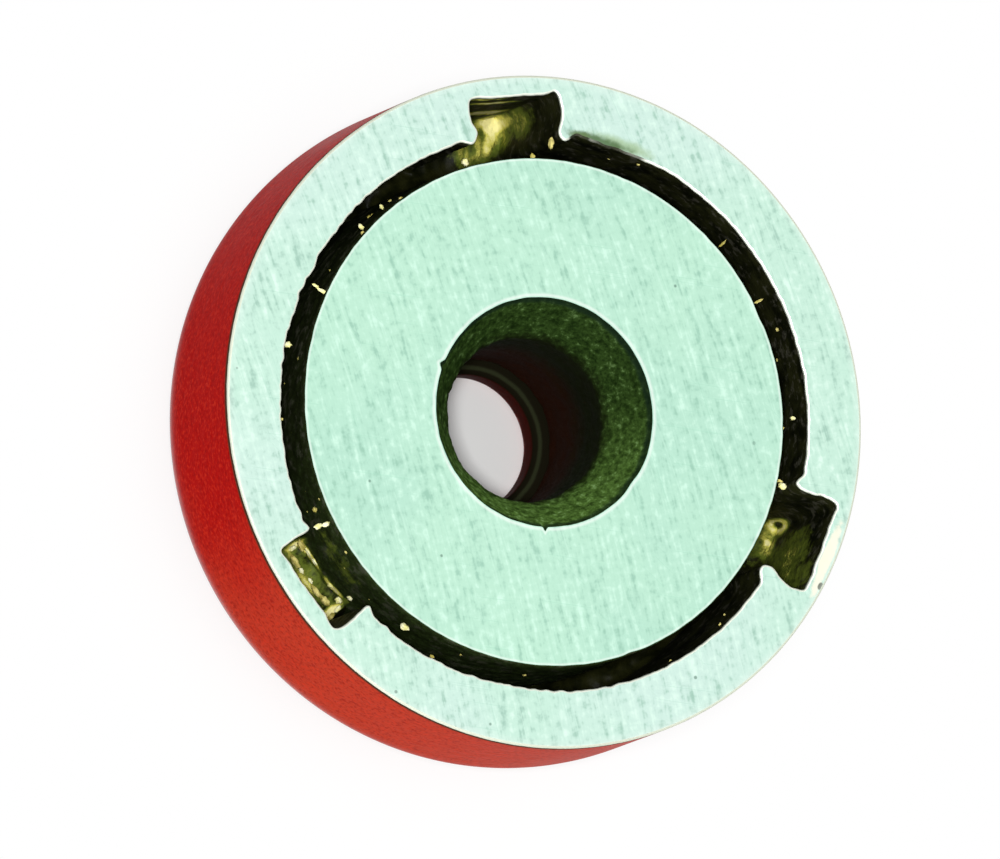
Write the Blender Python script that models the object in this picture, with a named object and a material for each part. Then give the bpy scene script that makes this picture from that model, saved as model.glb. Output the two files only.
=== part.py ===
"""Shallow pot magnet: a steel cup, a ring-shaped magnet in it, and the resin that bonds them.

The part lies on its painted back with the working face up. The origin is the centre of
the back, +Z is the axis and points at the working face, and +Y runs through the middle
of the first notch. All sizes are in metres.
"""

import math

import bmesh
import bpy
from mathutils import Matrix, Vector

# Steel cup
CUP_DIAMETER = 0.01910
CUP_HEIGHT = 0.00700
RIM_WIDTH = 0.00165
BASE_THICKNESS = 0.00115
SHOULDER_DEPTH = 0.00230
SHOULDER_HEIGHT = 0.00320
FLOOR_FILLET = 0.00090
RIM_OUTER_ROUND = 0.00010
RIM_INNER_ROUND = 0.00005

# Screw hole through the base of the cup
HOLE_DIAMETER = 0.00385
HOLE_BACK_ROUND = 0.00040
HOLE_FLOOR_ROUND = 0.00025

# Keying notches in the inside of the rim, whose floors slope up to follow the shoulder
NOTCH_COUNT = 3
NOTCH_MOUTH_WIDTH = 0.00256
NOTCH_BACK_WIDTH = 0.00272
NOTCH_WALL = 0.00056
NOTCH_CORNER_RADIUS = 0.00030
NOTCH_OFF_CENTRE = 0.00018
NOTCH_FLOOR_ANGLE = math.radians(45)

# Ring-shaped magnet, with a countersunk bore for the screw
AIR_GAP = 0.00068
CORE_BORE_DIAMETER = 0.00466
COUNTERSINK_DIAMETER = 0.00648
COUNTERSINK_DEPTH = 0.00150
CORE_FOOT_CHAMFER = 0.00130
CORE_EDGE_ROUND = 0.00005

# Resin round the foot of the magnet
BOND_LINE = 0.00030
RESIN_CLEARANCE = 0.00030
RESIN_DEPTH = 0.00080

# Fineness of the round surfaces
TURN_STEPS = 96
SHOULDER_STEPS = 12
FILLET_STEPS = 3
ROUND_STEPS = 2
SMOOTH_ANGLE = math.radians(32)

FULL_TURN = 2 * math.pi
QUARTER_TURN = math.pi / 2

# Radii and levels that follow from the sizes above
CUP_RADIUS = CUP_DIAMETER / 2
HOLE_RADIUS = HOLE_DIAMETER / 2
CAVITY_RADIUS = CUP_RADIUS - RIM_WIDTH
NOTCH_BACK_RADIUS = CUP_RADIUS - NOTCH_WALL
CORE_RADIUS = CAVITY_RADIUS - AIR_GAP
CORE_BORE_RADIUS = CORE_BORE_DIAMETER / 2
COUNTERSINK_RADIUS = COUNTERSINK_DIAMETER / 2
CORE_BOTTOM = BASE_THICKNESS + BOND_LINE
RESIN_BOTTOM = BASE_THICKNESS + RESIN_CLEARANCE
RESIN_TOP = RESIN_BOTTOM + RESIN_DEPTH
RESIN_OUTER_RADIUS = CAVITY_RADIUS - RESIN_CLEARANCE
RESIN_TOP_INNER_RADIUS = CORE_RADIUS - CORE_FOOT_CHAMFER + RESIN_TOP - CORE_BOTTOM + RESIN_CLEARANCE * math.sqrt(2)

RED_ENAMEL = ("red_enamel", (0.50, 0.012, 0.010), 0.0, 0.28)
GROUND_STEEL = ("ground_steel", (0.66, 0.72, 0.71), 1.0, 0.38)
CAST_ALNICO = ("cast_alnico", (0.52, 0.68, 0.60), 1.0, 0.42)
BONDING_RESIN = ("bonding_resin", (0.20, 0.16, 0.035), 0.0, 0.22)


def clear_scene():
    """Remove every object, so that the part stands alone."""
    for old in list(bpy.data.objects):
        bpy.data.objects.remove(old, do_unlink=True)


def finish_material(finish):
    """Return the material of a finish: its name, base colour, metallic value and roughness."""
    name, colour, metallic, roughness = finish
    material = bpy.data.materials.new(name)
    material.use_nodes = True
    material.diffuse_color = (*colour, 1.0)
    shader = material.node_tree.nodes["Principled BSDF"]
    shader.inputs["Base Color"].default_value = (*colour, 1.0)
    shader.inputs["Metallic"].default_value = metallic
    shader.inputs["Roughness"].default_value = roughness
    return material


def arc(centre, radii, start, end, steps):
    """Points of an arc in (radius, height), from one angle to another, both ends included."""
    points = []
    for step in range(steps + 1):
        angle = start + (end - start) * step / steps
        points.append((centre[0] + radii[0] * math.cos(angle), centre[1] + radii[1] * math.sin(angle)))
    return points


def rounded_edge(centre, radius, start, end):
    """A small rounded edge, which takes only a few points."""
    return arc(centre, (radius, radius), start, end, ROUND_STEPS)


def turned_mesh(name, profile):
    """Turn a closed (radius, height) profile about Z into a solid mesh."""
    work = bmesh.new()
    corners = [work.verts.new((radius, 0.0, height)) for radius, height in profile]
    sides = [work.edges.new((corner, corners[index - 1])) for index, corner in enumerate(corners)]
    bmesh.ops.spin(
        work,
        geom=corners + sides,
        cent=(0.0, 0.0, 0.0),
        axis=(0.0, 0.0, 1.0),
        angle=FULL_TURN,
        steps=TURN_STEPS,
        use_merge=True,
    )
    return mesh_from(work, name)


def prism_mesh(name, outline, low, high, slope_start):
    """Extrude a closed (x, y) outline upwards, over a floor that slopes up past a given y."""
    work = bmesh.new()
    corners = [work.verts.new((x, y, low)) for x, y in outline]
    floor = work.faces.new(corners)
    raised = bmesh.ops.extrude_face_region(work, geom=[floor])["geom"]
    lifted = [item for item in raised if isinstance(item, bmesh.types.BMVert)]
    bmesh.ops.translate(work, verts=lifted, vec=(0.0, 0.0, high - low))
    cut = bmesh.ops.bisect_plane(
        work,
        geom=list(work.verts) + list(work.edges) + list(work.faces),
        plane_co=(0.0, slope_start, low),
        plane_no=(0.0, -math.sin(NOTCH_FLOOR_ANGLE), math.cos(NOTCH_FLOOR_ANGLE)),
        clear_inner=True,
    )
    rim = [item for item in cut["geom_cut"] if isinstance(item, bmesh.types.BMEdge)]
    bmesh.ops.contextual_create(work, geom=rim)
    return mesh_from(work, name)


def mesh_from(work, name):
    """Close a working mesh into mesh data with every face pointing out."""
    bmesh.ops.recalc_face_normals(work, faces=work.faces)
    mesh = bpy.data.meshes.new(name)
    work.to_mesh(mesh)
    work.free()
    return mesh


def place(name, mesh, frame=None):
    """Put mesh data in the scene as an object, at the origin or in a frame of its own."""
    placed = bpy.data.objects.new(name, mesh)
    bpy.context.scene.collection.objects.link(placed)
    if frame is not None:
        placed.matrix_world = frame
    return placed


def combine(body, tools, operation):
    """Cut the tools from the body, or join them to it, and keep the result as the body's mesh."""
    for tool in tools:
        step = body.modifiers.new(tool.name, "BOOLEAN")
        step.operation = operation
        step.solver = "EXACT"
        step.material_mode = "TRANSFER"
        step.object = tool
    graph = bpy.context.evaluated_depsgraph_get()
    result = bpy.data.meshes.new_from_object(body.evaluated_get(graph), depsgraph=graph)
    body.modifiers.clear()
    body.data = result
    for tool in tools:
        bpy.data.objects.remove(tool, do_unlink=True)


def shade(body):
    """Shade round surfaces smooth and keep the real corners sharp."""
    body.data.shade_smooth()
    body.data.set_sharp_from_angle(angle=SMOOTH_ANGLE)


def cup_profile():
    """Section of the cup, from the hole out over the floor, up the wall and back underneath."""
    hole_edge = arc(
        (HOLE_RADIUS + HOLE_FLOOR_ROUND, BASE_THICKNESS - HOLE_FLOOR_ROUND),
        (HOLE_FLOOR_ROUND, HOLE_FLOOR_ROUND),
        2 * QUARTER_TURN,
        QUARTER_TURN,
        FILLET_STEPS,
    )
    floor_corner = arc(
        (CAVITY_RADIUS - FLOOR_FILLET, BASE_THICKNESS + FLOOR_FILLET),
        (FLOOR_FILLET, FLOOR_FILLET),
        -QUARTER_TURN,
        0.0,
        FILLET_STEPS,
    )
    rim_inside = rounded_edge(
        (CAVITY_RADIUS + RIM_INNER_ROUND, CUP_HEIGHT - RIM_INNER_ROUND),
        RIM_INNER_ROUND,
        2 * QUARTER_TURN,
        QUARTER_TURN,
    )
    rim_outside = rounded_edge(
        (CUP_RADIUS - RIM_OUTER_ROUND, CUP_HEIGHT - RIM_OUTER_ROUND),
        RIM_OUTER_ROUND,
        QUARTER_TURN,
        0.0,
    )
    shoulder = arc(
        (CUP_RADIUS - SHOULDER_DEPTH, SHOULDER_HEIGHT),
        (SHOULDER_DEPTH, SHOULDER_HEIGHT),
        0.0,
        -QUARTER_TURN,
        SHOULDER_STEPS,
    )
    back_edge = arc(
        (HOLE_RADIUS + HOLE_BACK_ROUND, HOLE_BACK_ROUND),
        (HOLE_BACK_ROUND, HOLE_BACK_ROUND),
        -QUARTER_TURN,
        -2 * QUARTER_TURN,
        FILLET_STEPS,
    )
    return hole_edge + floor_corner + rim_inside + rim_outside + shoulder + back_edge


def core_profile():
    """Section of the magnet: a countersunk bore, ground top edges and a chamfered foot."""
    bore = [
        (CORE_BORE_RADIUS, CORE_BOTTOM),
        (CORE_BORE_RADIUS, CUP_HEIGHT - COUNTERSINK_DEPTH),
        (COUNTERSINK_RADIUS, CUP_HEIGHT - CORE_EDGE_ROUND),
        (COUNTERSINK_RADIUS + CORE_EDGE_ROUND, CUP_HEIGHT),
    ]
    pole_edge = rounded_edge(
        (CORE_RADIUS - CORE_EDGE_ROUND, CUP_HEIGHT - CORE_EDGE_ROUND),
        CORE_EDGE_ROUND,
        QUARTER_TURN,
        0.0,
    )
    foot = [
        (CORE_RADIUS, CORE_BOTTOM + CORE_FOOT_CHAMFER),
        (CORE_RADIUS - CORE_FOOT_CHAMFER, CORE_BOTTOM),
    ]
    return bore + pole_edge + foot


def resin_profile():
    """Section of the resin ring, between the cup's rounded corner and the magnet's chamfered foot."""
    rounding = FLOOR_FILLET - RESIN_CLEARANCE
    corner = arc(
        (RESIN_OUTER_RADIUS - rounding, RESIN_BOTTOM + rounding),
        (rounding, rounding),
        -QUARTER_TURN,
        0.0,
        FILLET_STEPS,
    )
    bottom_inner_radius = RESIN_TOP_INNER_RADIUS - RESIN_DEPTH
    top = [(RESIN_OUTER_RADIUS, RESIN_TOP), (RESIN_TOP_INNER_RADIUS, RESIN_TOP)]
    return [(bottom_inner_radius, RESIN_BOTTOM)] + corner + top


def notch_outline(inner, clearance):
    """Outline of one notch, as wide at its mouth and back as the notch, less a clearance."""
    back = NOTCH_BACK_RADIUS - clearance
    slope = (NOTCH_BACK_WIDTH - NOTCH_MOUTH_WIDTH) / 2 / (NOTCH_BACK_RADIUS - CAVITY_RADIUS)
    half_back = NOTCH_BACK_WIDTH / 2 - clearance * (1 + slope)
    half_inner = half_back - slope * (back - inner)
    radius = NOTCH_CORNER_RADIUS
    right = arc((half_back - radius, back - radius), (radius, radius), 0.0, QUARTER_TURN, FILLET_STEPS)
    left = [(-x, y) for x, y in reversed(right)]
    return [(half_inner, inner)] + right + left + [(-half_inner, inner)]


def notch_frames():
    """Place of each notch: turned about the axis, and set off towards the last one."""
    turns = [FULL_TURN * index / NOTCH_COUNT for index in range(NOTCH_COUNT)]
    last = Matrix.Rotation(turns[-1], 4, "Z")
    shift = last @ Vector((0.0, NOTCH_OFF_CENTRE, 0.0))
    return [Matrix.Translation(shift) @ Matrix.Rotation(turn, 4, "Z") for turn in turns]


def notch_solids(name, inner, clearance, low, high):
    """One solid for each notch, either to cut it or to fill it."""
    outline = notch_outline(inner, clearance)
    above_floor = low - BASE_THICKNESS
    setback = (clearance / math.cos(NOTCH_FLOOR_ANGLE) - above_floor) / math.tan(NOTCH_FLOOR_ANGLE)
    slope_start = CAVITY_RADIUS - setback
    return [
        place(f"{name}_{index + 1}", prism_mesh(name, outline, low, high, slope_start), frame)
        for index, frame in enumerate(notch_frames())
    ]


def is_bare(face):
    """Whether a face of the turned cup was left bare: the ground rim and the inside."""
    across = math.hypot(face.center.x, face.center.y)
    on_rim = face.center.z > CUP_HEIGHT - RIM_OUTER_ROUND
    inside = face.center.z > BASE_THICKNESS - HOLE_FLOOR_ROUND and across < CAVITY_RADIUS + RIM_INNER_ROUND
    return on_rim or inside


def make_pot_shell():
    """Steel cup: enamelled outside, bare inside and where it was ground or cut."""
    shell = place("pot_shell", turned_mesh("pot_shell", cup_profile()))
    enamel = finish_material(RED_ENAMEL)
    bare = finish_material(GROUND_STEEL)
    shell.data.materials.append(enamel)
    shell.data.materials.append(bare)
    for face in shell.data.polygons:
        face.material_index = 1 if is_bare(face) else 0
    inner = CAVITY_RADIUS - FLOOR_FILLET - NOTCH_OFF_CENTRE
    cutters = notch_solids("notch", inner, 0.0, BASE_THICKNESS, CUP_HEIGHT + AIR_GAP)
    for cutter in cutters:
        cutter.data.materials.append(bare)
    combine(shell, cutters, "DIFFERENCE")
    shade(shell)


def make_magnet_core():
    """Cast ring magnet, ground flush with the rim and countersunk for the screw's head."""
    core = place("magnet_core", turned_mesh("magnet_core", core_profile()))
    core.data.materials.append(finish_material(CAST_ALNICO))
    shade(core)


def make_resin_bed():
    """Resin ring at the bottom of the air gap, with a lug in each notch."""
    bed = place("resin_bed", turned_mesh("resin_bed", resin_profile()))
    resin = finish_material(BONDING_RESIN)
    bed.data.materials.append(resin)
    inner = (RESIN_TOP_INNER_RADIUS + RESIN_OUTER_RADIUS - NOTCH_OFF_CENTRE) / 2
    lugs = notch_solids("lug", inner, RESIN_CLEARANCE, RESIN_BOTTOM, RESIN_TOP)
    for lug in lugs:
        lug.data.materials.append(resin)
    combine(bed, lugs, "UNION")
    shade(bed)


def main():
    """Build the three pieces of the magnet."""
    clear_scene()
    make_pot_shell()
    make_magnet_core()
    make_resin_bed()


main()
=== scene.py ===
"""Looks of the pot magnet: worn enamel, ground steel, cast magnet and bonding resin.

Sizes in the shapes are in millimetres, measured in the part's own frame: the axis is +Z,
the working face is at the top, and +Y runs through the middle of the first notch.
"""

import math
import random

import bmesh
import bpy
from mathutils import Matrix, Vector, noise
from mathutils.geometry import tessellate_polygon


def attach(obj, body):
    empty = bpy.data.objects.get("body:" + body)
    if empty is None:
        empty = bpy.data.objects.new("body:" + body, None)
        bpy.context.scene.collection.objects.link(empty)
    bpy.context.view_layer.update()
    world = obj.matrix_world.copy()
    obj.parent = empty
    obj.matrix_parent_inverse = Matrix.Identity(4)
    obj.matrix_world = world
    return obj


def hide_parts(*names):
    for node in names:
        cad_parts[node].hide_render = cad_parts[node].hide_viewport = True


# One millimetre, in metres
MM = 0.001

# Cup
CUP_RADIUS = 9.55
CUP_HEIGHT = 7.0
CAVITY_RADIUS = 7.93
BASE_THICKNESS = 1.15
SHOULDER_DEPTH = 2.3
SHOULDER_HEIGHT = 3.2
RIM_OUTER_ROUND = 0.07
HOLE_RADIUS = 1.925
HOLE_BACK_ROUND = 0.40
HOLE_FLOOR_ROUND = 0.25

# Notches, each turned about the axis
NOTCH_TURNS = (0.0, 120.0, 240.0)

# Edge of each notch on the working face, across it and out from the axis: round its back from
# one corner of its mouth to the other, with the burrs at both corners
NOTCH_EDGES = (
    (
        (1.96, 7.74), (1.83, 7.67), (1.69, 7.60), (1.55, 7.58), (1.45, 7.68), (1.42, 7.90),
        (1.48, 8.10), (1.56, 8.30), (1.59, 8.50), (1.55, 8.78), (1.49, 9.00), (1.41, 9.04),
        (1.30, 8.97), (1.17, 8.95), (0.60, 8.95), (0.00, 8.95), (-0.60, 8.96), (-1.10, 8.98),
        (-1.16, 8.90), (-1.18, 8.60), (-1.18, 8.30), (-1.06, 8.15), (-1.02, 8.00), (-1.09, 7.80),
        (-1.23, 7.67), (-1.41, 7.76), (-1.54, 7.78),
    ),
    (
        (1.80, 7.86), (1.59, 7.89), (1.42, 7.85), (1.32, 7.82), (1.27, 7.95), (1.30, 8.15),
        (1.35, 8.42), (1.35, 8.72), (1.32, 8.93), (1.25, 8.98), (1.06, 8.96), (0.85, 8.93),
        (0.54, 8.98), (0.00, 8.97), (-0.36, 8.95), (-0.78, 8.93), (-1.15, 8.98), (-1.31, 8.99),
        (-1.38, 8.90), (-1.42, 8.75), (-1.45, 8.47), (-1.41, 8.15), (-1.36, 7.82), (-1.41, 7.68),
        (-1.57, 7.74), (-1.78, 7.79),
    ),
    (
        (1.69, 7.72), (1.54, 7.69), (1.43, 7.61), (1.30, 7.56), (1.14, 7.60), (1.06, 7.74),
        (1.07, 7.92), (1.14, 8.05), (1.25, 8.26), (1.33, 8.46), (1.35, 8.62), (1.31, 8.82),
        (1.28, 9.00), (1.19, 9.04), (1.06, 9.03), (0.64, 9.05), (0.43, 9.01), (0.01, 9.02),
        (-0.52, 8.98), (-1.04, 8.98), (-1.33, 9.00), (-1.44, 8.90), (-1.46, 8.72), (-1.45, 8.46),
        (-1.38, 8.25), (-1.33, 8.00), (-1.33, 7.80), (-1.42, 7.58), (-1.59, 7.63), (-1.78, 7.72),
    ),
)

# Radius of the cavity round the part: degrees and millimetres
CAVITY_RADII = (
    (-17, 7.92), (5, 7.945), (35, 7.955), (55, 7.95), (62, 7.88), (70, 7.87), (76, 7.92),
    (101, 7.93), (106, 7.885), (140, 7.885), (155, 7.92), (172, 7.93), (185, 7.985), (197, 8.05),
    (223, 7.985), (245, 7.95), (254, 7.88), (264, 7.92), (317, 7.90), (343, 7.92),
)

# Steps from one notch to the next before the edge is spaced out evenly, the even step in
# millimetres, and how often the points are smoothed
CORNERS_BETWEEN = 90
EDGE_STEP = 0.042
SMOOTHINGS = 4

# Rounding of the cavity's edge on the working face
EDGE_ROUND = 0.06

# Depths of the rows down the cavity's wall, each with the step that leads to the next
WALL_DEPTHS = ((0.0, 0.012), (0.06, 0.04), (0.3, 0.08), (1.6, 0.16), (5.0, 0.2))

# How strong a painted highlight the cup's turned outside gets where it meets the rim's face,
# and the rows of that face: how far inside its edge they lie, and how strong their painted
# highlight is
SHELL_HIGHLIGHT = 0.4
RIM_ROWS = ((0.05, 0.2), (0.20, 0.0))

# Relief of the cavity's edge: long waves, teeth and how deep they reach, and the wall's skin
EDGE_WAVE = 0.040
EDGE_TEETH = 0.050
TEETH_DEPTH = 0.3
WALL_SKIN = 0.02

# Where the edge is most ragged: middle and width in degrees
RAGGED_PARTS = ((148, 34), (252, 26))

# The radius where a notch starts, over what width, and how ragged its edge is
NOTCH_START = 8.10
NOTCH_BLEND = 0.08
NOTCH_RAGGED = 0.4

# Magnet
CORE_RADIUS = 7.22
CORE_SHIFT = (-0.034, -0.010)
CORE_BOTTOM = 1.45
CORE_FOOT_CHAMFER = 1.30
BORE_RADIUS = 2.33
MOUTH_RADIUS = 3.24
MOUTH_BOTTOM = 5.50

# The cone starts this much inside the mouth, at this height
CONE_INSET = 0.085
CONE_TOP = 6.80

# Worn edges of the mouth and of the magnet's side: how much wider they are, and their heights
MOUTH_EDGE = ((0.022, 7.0), (0.006, 6.985), (-0.008, 6.95), (-0.02, 6.90), (-0.045, 6.85))
SIDE_EDGE = ((-0.028, 7.0), (-0.008, 6.99), (0.0, 6.965))

# Rows of the pole's face from the side to the mouth: radius, and how strong their painted highlight
# is
POLE_ROWS = (
    (CORE_RADIUS - 0.06, 0.8),
    (CORE_RADIUS - 0.11, 0.0),
    (MOUTH_RADIUS + 0.16, 0.0),
    (MOUTH_RADIUS + 0.08, 0.9),
)

# Cast relief is full from this depth below the ground face
CAST_DEPTH = 0.25

# Nicks in the pole's edges: angle, how far they push the edge outward, width in degrees, depth
BORE_NICKS = ((151.6, 0.10, 1.8, 0.5), (263.1, 0.13, 0.9, 0.3), (316.6, -0.04, 5.0, 0.4))
SIDE_NICKS = ((18.6, -0.03, 2.0, 0.4), (283.6, -0.03, 1.5, 0.4))

# Resin: levels of its surface and its underside, and the pool that stands higher in the second
# notch, with its half width and the width of its slope
RESIN_LEVEL = 2.15
RESIN_BOTTOM = 2.02
POOL_RISE = 1.85
POOL_HALF_WIDTH = 1.25
POOL_SLOPE = 0.6

# The depth at which the resin meets the cup's wall, and how far it reaches into the cup and
# the magnet
RESIN_DEPTH = 4.5
INTO_CUP = 0.03
INTO_MAGNET = 0.04

# How high the resin climbs the magnet and the cup, and how far from them its curve reaches
MAGNET_CLIMB = 0.35
MAGNET_REACH = 0.16
CUP_CLIMB = 0.25
CUP_REACH = 0.14

# Rows of the resin, as shares of the way from the magnet to the cup
RESIN_SHARES = (0.0, 0.04, 0.10, 0.18, 0.28, 0.40, 0.52, 0.64, 0.76, 0.86, 0.93, 0.97, 1.0)

# Points round the cup and round the magnet
CUP_SIDES = 384
CORE_SIDES = 540

# Finishes of the faces: of the cup, of the magnet and of a fleck
ENAMELLED, GROUND, RAW = range(3)
POLE, CAST = range(2)
PALE, GOLDEN = range(2)

# Direction of the grinding lines, turned from +Y, how much they bend, and how far a streak's
# value goes to either side before its tint is full
GRIND_TURN = math.radians(9.0)
GRIND_BEND = 0.005
STREAK_SPREAD = 0.16

# Ground metal: tints of the dark streaks, the metal and the bright streaks, and the tint that
# the metal drifts to
STEEL_TINTS = ((0.40, 0.63, 0.52), (0.60, 0.86, 0.72), (0.76, 0.98, 0.86), (0.65, 0.86, 0.77))
POLE_TINTS = ((0.37, 0.64, 0.50), (0.54, 0.84, 0.665), (0.67, 0.96, 0.80), (0.51, 0.805, 0.65))
PIT = (0.12, 0.22, 0.17)
# Tint of the painted highlight along ground edges
HIGHLIGHT_TINT = (0.93, 1.0, 0.94)

# Enamel: its deep red and the lighter red towards -Y, a painted reflection of the floor, its
# specks, the painted shade inside the hole and on the hole's inner lip, the painted highlight on
# the lip's ridge, the dark line under the rim and the worn edge
DEEP_RED = (0.335, 0.0030, 0.0020)
REFLECTED_FLOOR_RED = (0.390, 0.032, 0.013)
PALE_SPECKS = (0.56, 0.028, 0.010)
DARK_SPECKS = (0.20, 0.002, 0.001)
HOLE_SHADE_RED = (0.030, 0.005, 0.003)
LIP_SHADE = (0.009, 0.008, 0.004)
LIP_RIDGE_HIGHLIGHT = (0.045, 0.055, 0.025)
RIM_LINE = (0.045, 0.018, 0.006, 1.0)
WORN_EDGE = (0.62, 0.66, 0.54, 1.0)

# Golden resin, from thin to thick, and the radius at which its runs are measured
THIN_OLIVE = (0.13, 0.17, 0.022)
THICK_GOLD = (0.76, 0.71, 0.13)
CREAM = (1.0, 0.93, 0.43)
RUN_RADIUS = 8.0

# Raw steel: dark and fair, its spots, and its rounded top edge of bare steel, painted brighter as a
# highlight
RAW_DARK = (0.005, 0.006, 0.002)
RAW_FAIR = (0.022, 0.024, 0.007)
RAW_SPOTS = (0.085, 0.082, 0.060)
RAW_EDGE_HIGHLIGHT = (0.93, 0.98, 0.86)

# Cast skin: its painted shaded side and painted lit side, each from dark to light, its grains with
# painted glints, the painted shade deep in the bore, the dark red at its bottom, the painted
# shade under the mouth's lip, and the magnet's side with its spots
CAST_SHADED_SIDE = ((0.006, 0.016, 0.002), (0.026, 0.055, 0.010))
CAST_LIT_SIDE = ((0.030, 0.064, 0.010), (0.105, 0.205, 0.040))
CAST_GRAIN_GLINTS = (0.24, 0.40, 0.15)
BORE_SHADE = (0.006, 0.007, 0.002)
LOW_BORE_RED = (0.024, 0.004, 0.001)
MOUTH_LIP_SHADE = (0.006, 0.016, 0.008)
SIDE_DARK = (0.012, 0.014, 0.005)
SIDE_SPOTS = (0.082, 0.082, 0.058)

# Resin in the gap, and the two kinds of flecks, each between two tints
RESIN_TINTS = ((0.004, 0.005, 0.001), (0.016, 0.017, 0.004))
PALE_TINTS = ((0.88, 0.85, 0.34), (1.0, 0.98, 0.62))
GOLDEN_TINTS = ((0.42, 0.36, 0.08), (0.80, 0.70, 0.24))

# Floor: its tint, half its side in metres, and the radii in millimetres between which it turns
# white
FLOOR_TINT = (0.80, 0.80, 0.79, 1.0)
FLOOR_HALF = 0.6
FLOOR_FADE = (1.0, 13.0)

# Surroundings: their tints away from and towards the brightest direction
STUDIO_TINTS = ((0.28, 0.28, 0.29), (0.93, 0.93, 0.93))
BRIGHTEST = (0.37, 0.12, 0.92)
WHITE = (1.0, 1.0, 1.0)

# Lamps: name, place and side in metres, and watts
LAMPS = (
    ("key_lamp", (-0.27, -0.075, 0.64), 0.07, 3.4),
    ("front_lamp", (-0.22, -0.44, 0.20), 0.35, 1.1),
)
LAMP_AIM = (0.0, 0.0, 0.003)

# Camera: its directions before a last turn about the part's axis, in degrees, its lens, and the
# point that it looks at and its distance from there, in metres
CAMERA_RIGHT = (0.9278, -0.0954, 0.3607)
CAMERA_UP = (0.0458, 0.9886, 0.1437)
CAMERA_BACK = (-0.3703, -0.1168, 0.9215)
CAMERA_TURN = -1.41
CAMERA_LENS = 1200.0
CAMERA_AIM = (0.0, 0.0, 0.0035)
CAMERA_DISTANCE = 0.939


class Wire:
    """A socket of a finish. Sums and products of wires add the nodes that work them out."""

    def __init__(self, finish, socket):
        self.finish = finish
        self.socket = socket

    def maths(self, operation, first, second):
        """Add a Math node."""
        settings = {"operation": operation}
        return self.finish.node("ShaderNodeMath", settings, {0: first, 1: second})

    def __add__(self, other):
        return self.maths("ADD", self, other)

    def __sub__(self, other):
        return self.maths("SUBTRACT", self, other)

    def __rsub__(self, other):
        return self.maths("SUBTRACT", other, self)

    def __mul__(self, other):
        return self.maths("MULTIPLY", self, other)

    __radd__ = __add__
    __rmul__ = __mul__


class Finish:
    """One material, or the world's, built node by node."""

    def __init__(self, name, home=None):
        self.home = home or bpy.data.materials.new(name)
        self.home.use_nodes = True
        self.tree = self.home.node_tree
        self.tree.nodes.clear()

    def node(self, kind, settings=None, values=None, output=0):
        """Add a node: its settings first, then the values or links of its sockets."""
        made = self.tree.nodes.new(kind)
        for key, value in (settings or {}).items():
            setattr(made, key, value)
        for key, value in (values or {}).items():
            if isinstance(value, Wire):
                self.tree.links.new(value.socket, made.inputs[key])
            else:
                made.inputs[key].default_value = value
        return Wire(self, made.outputs[output]) if made.outputs else None

    def place(self):
        """Where a point lies on the part, in millimetres."""
        values = {0: self.node("ShaderNodeTexCoord", output="Object"), "Scale": 1 / MM}
        return self.node("ShaderNodeVectorMath", {"operation": "SCALE"}, values)

    def axis(self, place, name):
        """One coordinate of a place."""
        return self.node("ShaderNodeSeparateXYZ", None, {0: place}, name)

    def length(self, vector):
        """How long a vector is."""
        return self.node("ShaderNodeVectorMath", {"operation": "LENGTH"}, {0: vector}, "Value")

    def stretch(self, place, size, turn=0.0, centre=(0.0, 0.0, 0.0)):
        """The place from a centre in units of a size, along directions turned about Z."""
        values = {
            "Vector": place, "Location": centre, "Rotation": (0.0, 0.0, turn), "Scale": size,
        }
        return self.node("ShaderNodeMapping", {"vector_type": "TEXTURE"}, values)

    def cloud(self, place, scale=1.0, detail=3.0, roughness=0.5):
        """Soft noise between 0 and 1."""
        values = {"Vector": place, "Scale": scale, "Detail": detail, "Roughness": roughness}
        return self.node("ShaderNodeTexNoise", None, values)

    def step(self, value, low, high):
        """A smooth step from 0 at low to 1 at high."""
        values = {"Value": value, "From Min": low, "From Max": high}
        return self.node("ShaderNodeMapRange", {"interpolation_type": "SMOOTHSTEP"}, values)

    def blend(self, factor, first, second):
        """A second colour over a first one."""
        first = first if isinstance(first, Wire) else (*first, 1.0)
        second = second if isinstance(second, Wire) else (*second, 1.0)
        values = {0: factor, 6: first, 7: second}
        return self.node("ShaderNodeMix", {"data_type": "RGBA"}, values, 2)

    def over(self, factor, first, second):
        """A second shader over a first one."""
        return self.node("ShaderNodeMixShader", None, {0: factor, 1: first, 2: second})

    def mark(self, name):
        """A value kept at each point of the mesh."""
        return self.node("ShaderNodeAttribute", {"attribute_name": name}, None, "Fac")

    def spot(self, place, centre, size, turn, ragged=0.0, soft=0.15):
        """Mask of an oval spot, turned by degrees, 1 inside, its edge made ragged by a wave."""
        through = 1e6
        local = self.stretch(place, (*size, through), math.radians(turn), (*centre, 0.0))
        return self.step(self.length(local) + ragged, 1 + soft, 1 - soft)

    def bump(self, height, strength, distance):
        """Fine relief, its distance in millimetres."""
        values = {"Strength": strength, "Distance": distance * MM, "Height": height}
        return self.node("ShaderNodeBump", None, values)

    def surface(self, **values):
        """The shader of a solid surface."""
        sockets = {key.replace("_", " "): value for key, value in values.items()}
        return self.node("ShaderNodeBsdfPrincipled", None, sockets)

    def done(self, shader, kind="ShaderNodeOutputMaterial"):
        """Finish with the output node."""
        self.node(kind, None, {"Surface": shader})
        return self.home


def radius_of(finish, place):
    """Distance from the axis, in millimetres."""
    values = {0: place, 1: (1.0, 1.0, 0.0)}
    return finish.length(finish.node("ShaderNodeVectorMath", {"operation": "MULTIPLY"}, values))


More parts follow.
